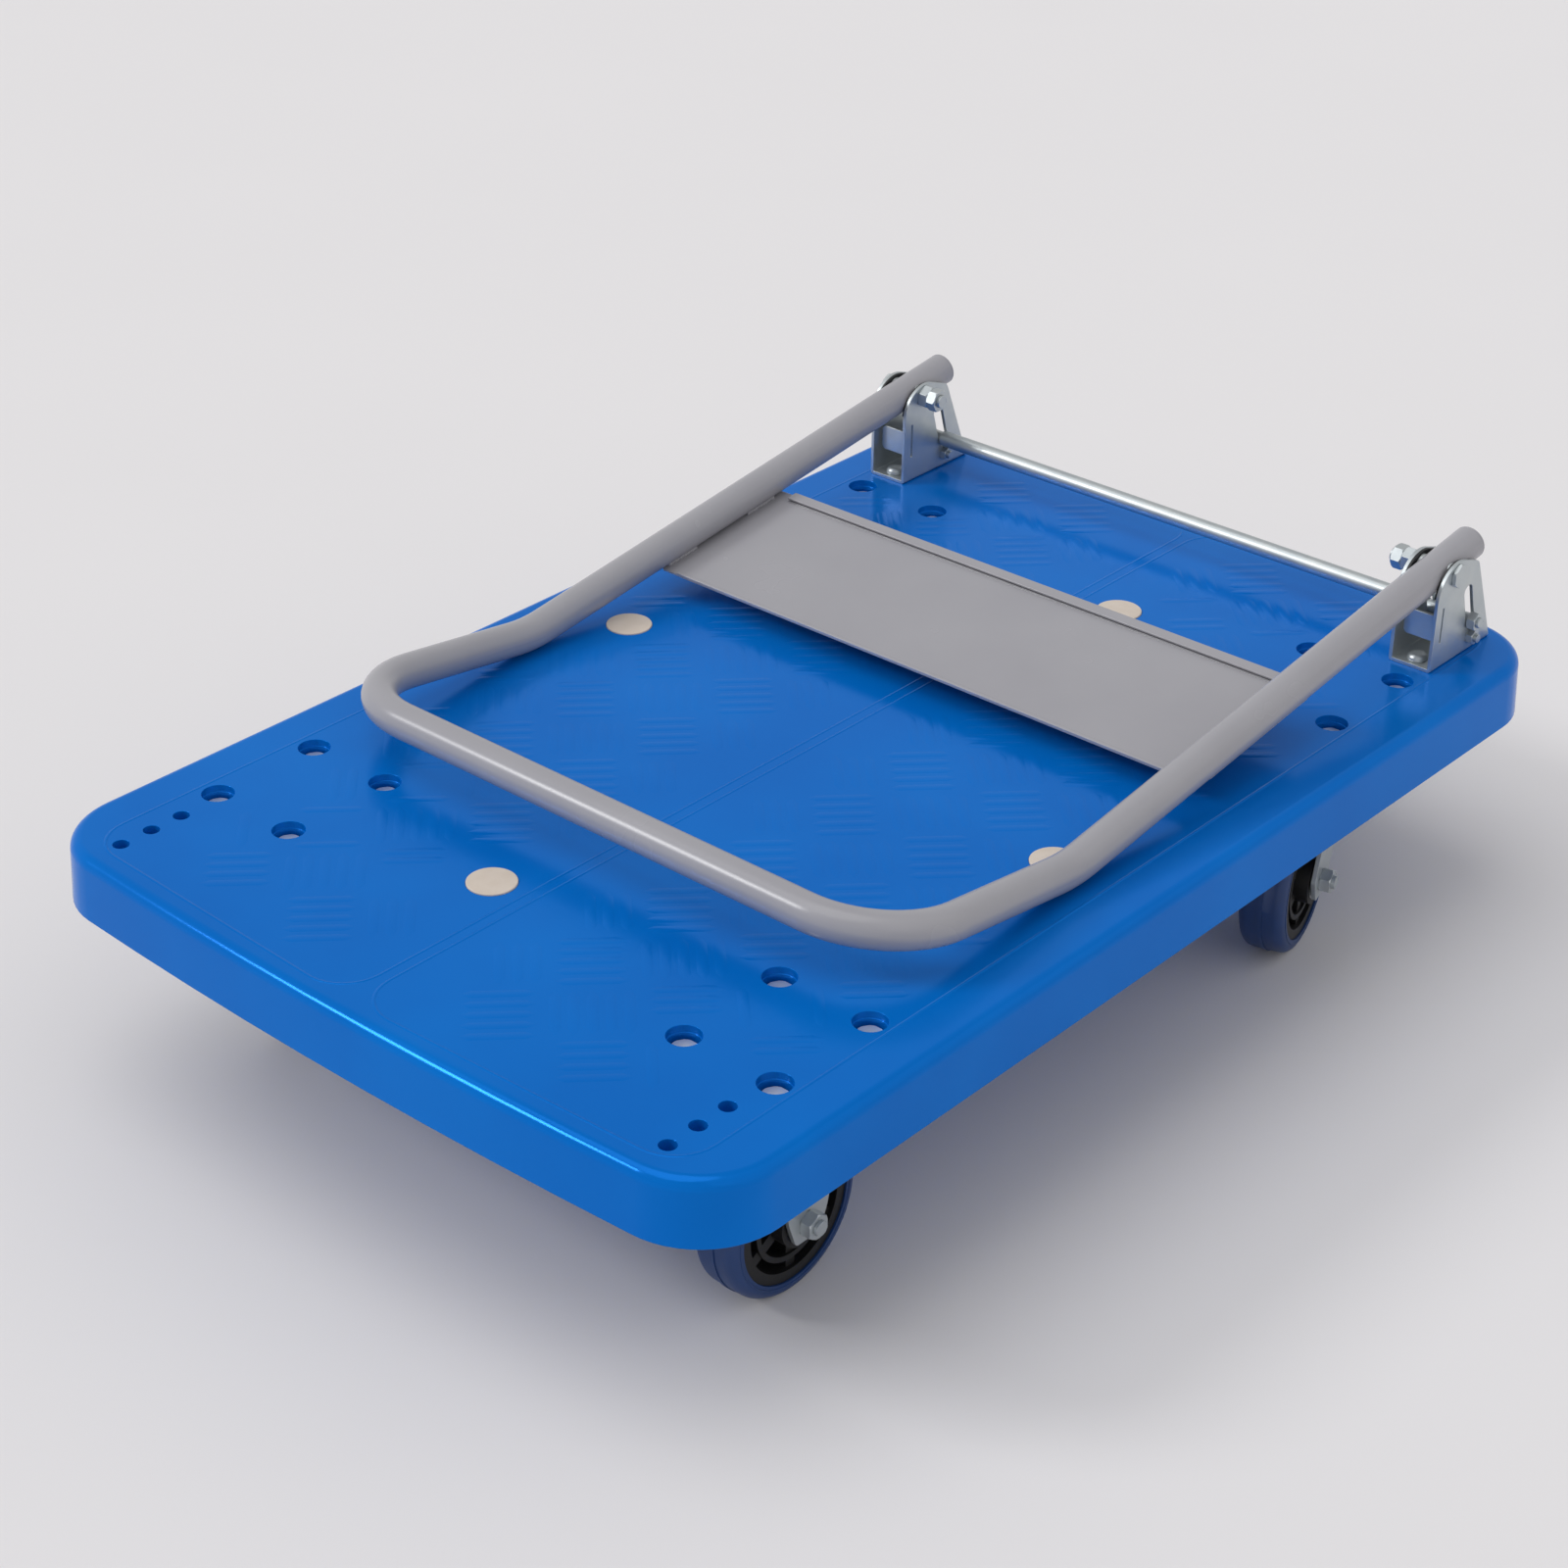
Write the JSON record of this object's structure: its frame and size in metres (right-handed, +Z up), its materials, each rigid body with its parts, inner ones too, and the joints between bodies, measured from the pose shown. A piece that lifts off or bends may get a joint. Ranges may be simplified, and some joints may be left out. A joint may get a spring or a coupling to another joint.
{
  "type": "folding platform cart",
  "caption": "Low platform cart with a moulded plastic deck, a folding tube handle with a sheet panel, a lock rod, and fixed and swivel casters.",
  "frame": {"origin": "on the floor under the middle of the deck's outline", "axes": "+Y towards the hinged handle end, +X to the right seen from that end's opposite, +Z up"},
  "size_m": [0.48, 0.7398, 0.22],
  "materials": {
    "deck_plastic": "satin",
    "pad_plastic": "matte",
    "handle_paint": "satin",
    "zinc_steel": "bright",
    "bearing_steel": "polished",
    "liner_plastic": "matte",
    "core_plastic": "satin",
    "tyre_rubber": "satin"
  },
  "bodies": {
    "deck": {"deck_shell": "deck_plastic", "deck_pads": "pad_plastic", "hinge_bracket_left": "zinc_steel", "hinge_bracket_right": "zinc_steel", "bracket_bolts": "zinc_steel", "bracket_nuts": "zinc_steel", "pivot_bolts": "zinc_steel", "pivot_nuts": "zinc_steel", "ear_liners": "liner_plastic", "stop_bolts": "zinc_steel", "stop_nuts": "zinc_steel", "caster_bolts": "zinc_steel", "caster_washers": "zinc_steel", "caster_nuts": "zinc_steel", "fixed_fork_front_left": "zinc_steel", "axle_bolt_front_left": "zinc_steel", "axle_nut_front_left": "zinc_steel", "axle_spacer_front_left": "zinc_steel", "fixed_fork_front_right": "zinc_steel", "axle_bolt_front_right": "zinc_steel", "axle_nut_front_right": "zinc_steel", "axle_spacer_front_right": "zinc_steel", "swivel_plate_rear_left": "zinc_steel", "kingpin_rear_left": "zinc_steel", "swivel_plate_rear_right": "zinc_steel", "kingpin_rear_right": "zinc_steel"},
    "handle": {"handle_tube": "handle_paint", "handle_panel": "handle_paint", "tail_caps": "handle_paint", "pivot_sleeves": "zinc_steel"},
    "lock_rod": {"lock_rod": "zinc_steel", "rod_nuts": "zinc_steel"},
    "wheel_front_left": {"tyre_front_left": "tyre_rubber", "wheel_core_front_left": "core_plastic", "bearings_front_left": "bearing_steel"},
    "wheel_front_right": {"tyre_front_right": "tyre_rubber", "wheel_core_front_right": "core_plastic", "bearings_front_right": "bearing_steel"},
    "swivel_rear_left": {"swivel_fork_rear_left": "zinc_steel", "swivel_balls_rear_left": "bearing_steel", "axle_bolt_rear_left": "zinc_steel", "axle_nut_rear_left": "zinc_steel", "axle_spacer_rear_left": "zinc_steel"},
    "wheel_rear_left": {"tyre_rear_left": "tyre_rubber", "wheel_core_rear_left": "core_plastic", "bearings_rear_left": "bearing_steel"},
    "swivel_rear_right": {"swivel_fork_rear_right": "zinc_steel", "swivel_balls_rear_right": "bearing_steel", "axle_bolt_rear_right": "zinc_steel", "axle_nut_rear_right": "zinc_steel", "axle_spacer_rear_right": "zinc_steel"},
    "wheel_rear_right": {"tyre_rear_right": "tyre_rubber", "wheel_core_rear_right": "core_plastic", "bearings_rear_right": "bearing_steel"}
  },
  "joints": [
    {"name": "handle_fold", "type": "hinge", "parent": "deck", "child": "handle", "pos_m": [0, 0.3005, 0.20553], "axis": [-1, 0, 0], "range_deg": [0, 97.6]},
    {"name": "lock_rod_lift", "type": "slide", "parent": "deck", "child": "lock_rod", "axis": [0, -0.2847, 0.9586], "range_m": [0, 0.02107]},
    {"name": "spin_front_left", "type": "hinge", "parent": "deck", "child": "wheel_front_left", "pos_m": [-0.1693, -0.2373, 0.047], "axis": [1, 0, 0], "continuous": true},
    {"name": "spin_front_right", "type": "hinge", "parent": "deck", "child": "wheel_front_right", "pos_m": [0.1693, -0.2373, 0.047], "axis": [1, 0, 0], "continuous": true},
    {"name": "swivel_rear_left", "type": "hinge", "parent": "deck", "child": "swivel_rear_left", "pos_m": [-0.1693, 0.229, 0.118], "axis": [0, 0, 1], "continuous": true},
    {"name": "spin_rear_left", "type": "hinge", "parent": "swivel_rear_left", "child": "wheel_rear_left", "pos_m": [-0.15968, 0.19431, 0.047], "axis": [0.9636, 0.2672, 0], "continuous": true},
    {"name": "swivel_rear_right", "type": "hinge", "parent": "deck", "child": "swivel_rear_right", "pos_m": [0.1693, 0.229, 0.118], "axis": [0, 0, 1], "continuous": true},
    {"name": "spin_rear_right", "type": "hinge", "parent": "swivel_rear_right", "child": "wheel_rear_right", "pos_m": [0.17892, 0.19431, 0.047], "axis": [0.9636, 0.2672, 0], "continuous": true}
  ]
}
